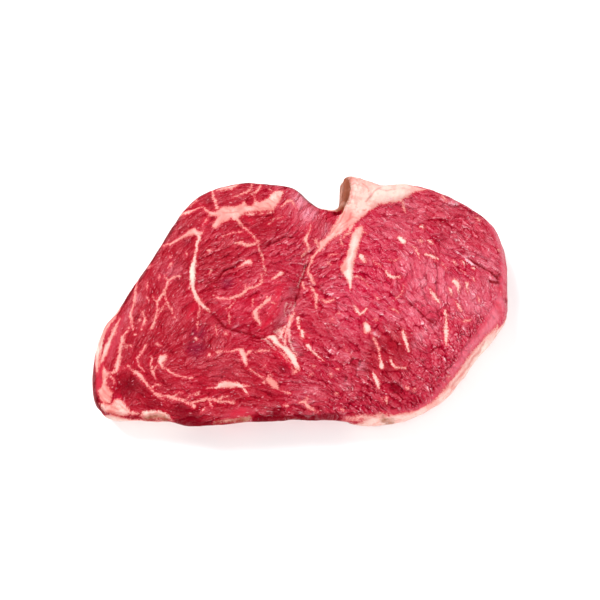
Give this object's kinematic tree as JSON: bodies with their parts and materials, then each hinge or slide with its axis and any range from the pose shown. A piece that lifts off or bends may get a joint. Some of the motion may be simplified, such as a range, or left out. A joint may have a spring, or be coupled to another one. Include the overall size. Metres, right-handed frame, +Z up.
{
  "type": "raw ribeye steak",
  "caption": "Raw boneless ribeye steak: a flat slab of marbled beef with a round eye, a thinner tail and a raised knob of fat.",
  "frame": {"origin": "middle of the outline's box, on the flat cut underside", "axes": "+X along the long side from the thin tail to the eye, +Y across the steak towards the fat knob, +Z up out of the top face"},
  "size_m": [0.199, 0.1254, 0.0244],
  "materials": {
    "raw_beef": "damp satin"
  },
  "bodies": {
    "root": {"steak": "raw_beef"}
  },
  "joints": []
}
